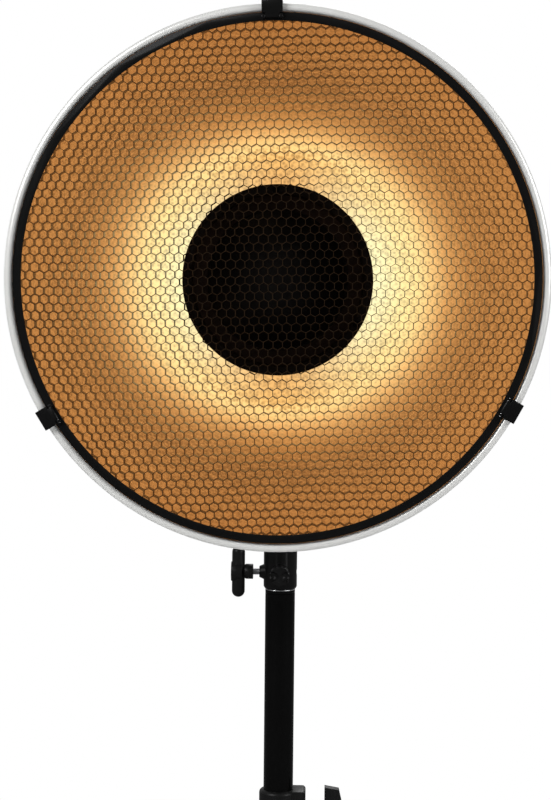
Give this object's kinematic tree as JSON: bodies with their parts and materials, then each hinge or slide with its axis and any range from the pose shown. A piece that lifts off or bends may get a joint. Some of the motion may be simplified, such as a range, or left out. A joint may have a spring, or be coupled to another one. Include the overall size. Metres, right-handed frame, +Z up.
{
  "type": "beauty dish reflector light",
  "caption": "Bowl-shaped studio reflector with a gold inside, honeycomb grid and central deflector, on a tilting lamp head and a low folding stand.",
  "frame": {"origin": "the point on the floor on the axis of the stand column", "axes": "+Z up; the dish faces -Y; +X is to the right of a viewer in front of the dish"},
  "size_m": [0.5178, 0.4514, 0.9354],
  "materials": {
    "dish_skin": "silver powder coat outside, gold hammered inside",
    "black_metal": "satin black paint on a cast or pressed part",
    "grey_metal": "dark grey satin paint",
    "deflector_black": "satin black",
    "bare_steel": "turned steel",
    "honeycomb_foil": "dark foil",
    "black_plastic": "moulded, fine grain",
    "gloss_black": "glossy black paint",
    "white_ceramic": "white ceramic",
    "lamp_glass": "frosted glass",
    "black_rubber": "matt rubber",
    "fibre": "pressed fibre",
    "nylon": "natural nylon"
  },
  "bodies": {
    "stand": {"lower_tube": "gloss_black", "column_cap": "black_rubber", "clamp_collar": "black_plastic", "leg_hub": "black_metal", "leg_pins": "bare_steel"},
    "front_leg": {"leg_front": "gloss_black", "foot_front": "black_rubber"},
    "right_leg": {"leg_right": "gloss_black", "foot_right": "black_rubber"},
    "left_leg": {"leg_left": "gloss_black", "foot_left": "black_rubber"},
    "collar_knob": {"collar_t_knob": "black_plastic", "collar_stud": "bare_steel"},
    "riser": {"riser_tube": "gloss_black", "riser_bush": "nylon", "riser_cap": "gloss_black", "spigot": "bare_steel"},
    "bracket": {"receiver": "black_metal", "tilt_yoke": "black_metal", "tilt_bolt": "bare_steel", "tilt_washers": "fibre"},
    "bracket_knob": {"receiver_t_knob": "black_plastic", "receiver_stud": "bare_steel"},
    "safety_knob": {"lobed_knob": "black_plastic"},
    "umbrella_knob": {"umbrella_screw": "bare_steel"},
    "tilt_handle": {"tilt_lever": "black_plastic"},
    "head": {"bayonet_cup": "grey_metal", "lamp_plate": "white_ceramic", "flash_tube": "lamp_glass", "lamp_socket": "white_ceramic", "lamp_bulb": "lamp_glass", "head_housing": "black_metal", "rear_panel": "grey_metal", "rear_screws": "bare_steel", "mains_inlet": "black_plastic", "head_foot": "black_metal", "foot_screws": "bare_steel"},
    "release": {"release_button": "bare_steel"},
    "switch": {"power_switch": "black_plastic"},
    "dial": {"power_dial": "black_plastic"},
    "fuse": {"fuse_cap": "black_plastic"},
    "dish": {"dish_shell": "dish_skin", "dish_mount_ring": "black_metal", "deflector_plate": "deflector_black", "deflector_cap": "deflector_black", "deflector_rods": "bare_steel", "deflector_screws": "black_metal", "rod_nuts": "bare_steel"},
    "grid": {"grid_ring": "black_metal", "honeycomb_grid": "honeycomb_foil", "clip_pins": "bare_steel"},
    "top_clip": {"grid_clip_top": "black_metal"},
    "left_clip": {"grid_clip_left": "black_metal"},
    "right_clip": {"grid_clip_right": "black_metal"}
  },
  "joints": [
    {"name": "front_leg_fold", "type": "hinge", "parent": "stand", "child": "front_leg", "pos_m": [0, -0.036, 0.182], "axis": [1, 0, 0], "range_deg": [0, 55]},
    {"name": "right_leg_fold", "type": "hinge", "parent": "stand", "child": "right_leg", "pos_m": [0.03118, 0.018, 0.182], "axis": [-0.5, 0.866, 0], "range_deg": [0, 55]},
    {"name": "left_leg_fold", "type": "hinge", "parent": "stand", "child": "left_leg", "pos_m": [-0.03118, 0.018, 0.182], "axis": [-0.5, -0.866, 0], "range_deg": [0, 55]},
    {"name": "riser_slide", "type": "slide", "parent": "stand", "child": "riser", "axis": [0, 0, 1], "range_m": [0, 0.11]},
    {"name": "collar_knob_turn", "type": "hinge", "parent": "stand", "child": "collar_knob", "pos_m": [0, 0, 0.2454], "axis": [1, 0, 0], "range_deg": [0, 270]},
    {"name": "pan", "type": "hinge", "parent": "riser", "child": "bracket", "pos_m": [0, 0, 0.5], "axis": [0, 0, 1], "continuous": true},
    {"name": "bracket_knob_turn", "type": "hinge", "parent": "bracket", "child": "bracket_knob", "pos_m": [0, 0, 0.464], "axis": [-1, 0, 0], "range_deg": [0, 270]},
    {"name": "safety_knob_turn", "type": "hinge", "parent": "bracket", "child": "safety_knob", "pos_m": [0, 0, 0.464], "axis": [0, -1, 0], "range_deg": [0, 270]},
    {"name": "umbrella_knob_turn", "type": "hinge", "parent": "bracket", "child": "umbrella_knob", "pos_m": [0, 0, 0.563], "axis": [1, 0, 0], "range_deg": [0, 270]},
    {"name": "tilt_handle_turn", "type": "hinge", "parent": "bracket", "child": "tilt_handle", "pos_m": [0, 0, 0.619], "axis": [-1, 0, 0], "range_deg": [0, 70]},
    {"name": "head_tilt", "type": "hinge", "parent": "bracket", "child": "head", "pos_m": [0, 0, 0.619], "axis": [1, 0, 0], "range_deg": [-60, 35]},
    {"name": "release_pull", "type": "slide", "parent": "head", "child": "release", "axis": [0, 0, 1], "range_m": [0, 0.004], "stiffness_N_per_m": 300},
    {"name": "switch_rock", "type": "hinge", "parent": "head", "child": "switch", "pos_m": [0.024, 0.119, 0.747], "axis": [1, 0, 0], "range_deg": [0, 8]},
    {"name": "dial_turn", "type": "hinge", "parent": "head", "child": "dial", "pos_m": [-0.024, 0.119, 0.747], "axis": [0, 1, 0], "range_deg": [0, 270]},
    {"name": "fuse_cap_turn", "type": "hinge", "parent": "head", "child": "fuse", "pos_m": [0.034, 0.119, 0.697], "axis": [0, 1, 0], "range_deg": [0, 90]},
    {"name": "dish_twist", "type": "hinge", "parent": "head", "child": "dish", "pos_m": [0, -0.08, 0.723], "axis": [0, -1, 0], "range_deg": [0, 60]},
    {"name": "grid_pull", "type": "slide", "parent": "dish", "child": "grid", "axis": [0, -1, 0], "range_m": [0, 0.03]},
    {"name": "top_clip_open", "type": "hinge", "parent": "grid", "child": "top_clip", "pos_m": [-0.00522, -0.2264, 0.92253], "axis": [0.9997, 0, 0.0262], "range_deg": [0, 25], "stiffness_Nm_per_rad": 0.05},
    {"name": "left_clip_open", "type": "hinge", "parent": "grid", "child": "left_clip", "pos_m": [-0.17019, -0.2264, 0.61871], "axis": [-0.5225, 0, 0.8526], "range_deg": [0, 25], "stiffness_Nm_per_rad": 0.05},
    {"name": "right_clip_open", "type": "hinge", "parent": "grid", "child": "right_clip", "pos_m": [0.17541, -0.2264, 0.62776], "axis": [-0.4772, 0, -0.8788], "range_deg": [0, 25], "stiffness_Nm_per_rad": 0.05}
  ]
}
